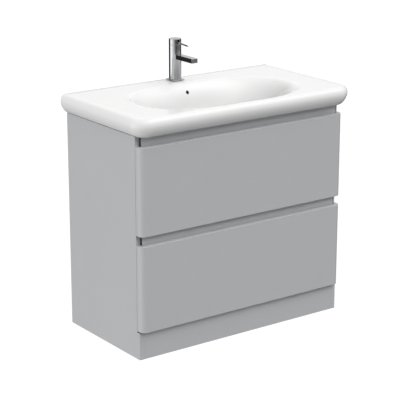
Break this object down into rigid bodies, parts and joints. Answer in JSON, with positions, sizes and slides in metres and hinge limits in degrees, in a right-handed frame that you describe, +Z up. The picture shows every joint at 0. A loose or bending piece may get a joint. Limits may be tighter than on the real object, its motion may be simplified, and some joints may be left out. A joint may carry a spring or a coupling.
{
  "type": "bathroom vanity cabinet",
  "caption": "Floor-standing vanity unit with handleless drawers on a plinth, a ceramic basin with a rolled rim, a click-clack waste and a pin-lever mixer tap.",
  "frame": {"origin": "on the floor, at the centre of the overall width and depth of the unit with its basin", "axes": "+Z up; +Y towards the wall behind the unit; +X to the right of somebody facing the drawers"},
  "size_m": [0.95, 0.51, 1.037],
  "materials": {
    "grey_foil": "satin light grey foil on fibreboard",
    "grey_board": "matt light grey faced board",
    "painted_rail": "satin light grey paint",
    "dark_plastic": "matt dark grey",
    "white_plastic": "natural acetal",
    "zinc_steel": "bright zinc plate",
    "brass": "machined",
    "chrome": "polished chrome plate",
    "rubber": "matt black",
    "glazed_ceramic": "gloss white glaze"
  },
  "bodies": {
    "cabinet": {"side_panel_left": "grey_foil", "side_panel_right": "grey_foil", "bottom_panel": "grey_board", "plinth_front": "grey_foil", "plinth_rear": "grey_board", "front_rail_upper": "grey_board", "front_rail_middle": "grey_board", "back_rail_upper": "grey_board", "back_rail_lower": "grey_board", "handle_rail_upper": "painted_rail", "handle_rail_middle": "painted_rail", "handle_rail_upper_cap_left": "dark_plastic", "handle_rail_upper_cap_right": "dark_plastic", "handle_rail_middle_cap_left": "dark_plastic", "handle_rail_middle_cap_right": "dark_plastic", "wall_bracket_left": "zinc_steel", "wall_bracket_right": "zinc_steel", "upper_runner_left_cabinet_member": "zinc_steel", "upper_runner_right_cabinet_member": "zinc_steel", "lower_runner_left_cabinet_member": "zinc_steel", "lower_runner_right_cabinet_member": "zinc_steel", "basin": "glazed_ceramic", "waste_body": "chrome", "waste_seal": "rubber", "waste_backnut": "brass", "tap_base_seal": "rubber", "tap_base_plate": "chrome", "tap_body": "chrome", "tap_spout": "chrome", "tap_aerator": "white_plastic", "tap_cartridge": "white_plastic", "tap_fixing_washer": "zinc_steel", "tap_fixing_nut": "brass", "tap_fixing_stud": "zinc_steel"},
    "upper_drawer": {"upper_drawer_front": "grey_foil", "upper_drawer_side_left": "grey_board", "upper_drawer_side_right": "grey_board", "upper_drawer_base": "grey_board", "upper_drawer_back_left": "grey_board", "upper_drawer_back_right": "grey_board", "upper_drawer_well_front": "grey_board", "upper_drawer_well_left": "grey_board", "upper_drawer_well_right": "grey_board", "upper_runner_left_drawer_member": "zinc_steel", "upper_runner_right_drawer_member": "zinc_steel"},
    "upper_runner_middles": {"upper_runner_left_middle_member": "zinc_steel", "upper_runner_right_middle_member": "zinc_steel"},
    "lower_drawer": {"lower_drawer_front": "grey_foil", "lower_drawer_side_left": "grey_board", "lower_drawer_side_right": "grey_board", "lower_drawer_base": "grey_board", "lower_drawer_back": "grey_board", "lower_runner_left_drawer_member": "zinc_steel", "lower_runner_right_drawer_member": "zinc_steel"},
    "lower_runner_middles": {"lower_runner_left_middle_member": "zinc_steel", "lower_runner_right_middle_member": "zinc_steel"},
    "waste_plug": {"waste_plug": "chrome"},
    "tap_head": {"tap_head": "chrome"},
    "tap_lever": {"tap_lever": "chrome"}
  },
  "joints": [
    {"name": "upper_drawer_slide", "type": "slide", "parent": "cabinet", "child": "upper_drawer", "axis": [0, -1, 0], "range_m": [0, 0.36]},
    {"name": "upper_runner_slide", "type": "slide", "parent": "cabinet", "child": "upper_runner_middles", "axis": [0, -1, 0], "range_m": [0, 0.18]},
    {"name": "lower_drawer_slide", "type": "slide", "parent": "cabinet", "child": "lower_drawer", "axis": [0, -1, 0], "range_m": [0, 0.36]},
    {"name": "lower_runner_slide", "type": "slide", "parent": "cabinet", "child": "lower_runner_middles", "axis": [0, -1, 0], "range_m": [0, 0.18]},
    {"name": "waste_plug_slide", "type": "slide", "parent": "cabinet", "child": "waste_plug", "axis": [0, 0, 1], "range_m": [0, 0.008]},
    {"name": "tap_head_turn", "type": "hinge", "parent": "cabinet", "child": "tap_head", "pos_m": [0, 0.216, 1.026], "axis": [0, 0, 1], "range_deg": [-45, 45]},
    {"name": "tap_lever_lift", "type": "hinge", "parent": "tap_head", "child": "tap_lever", "pos_m": [0, 0.211, 1.025], "axis": [-1, 0, 0], "range_deg": [0, 16]}
  ],
  "couplings": [
    {"joint": "upper_runner_slide", "follows": "upper_drawer_slide", "ratio": 0.5},
    {"joint": "lower_runner_slide", "follows": "lower_drawer_slide", "ratio": 0.5}
  ]
}
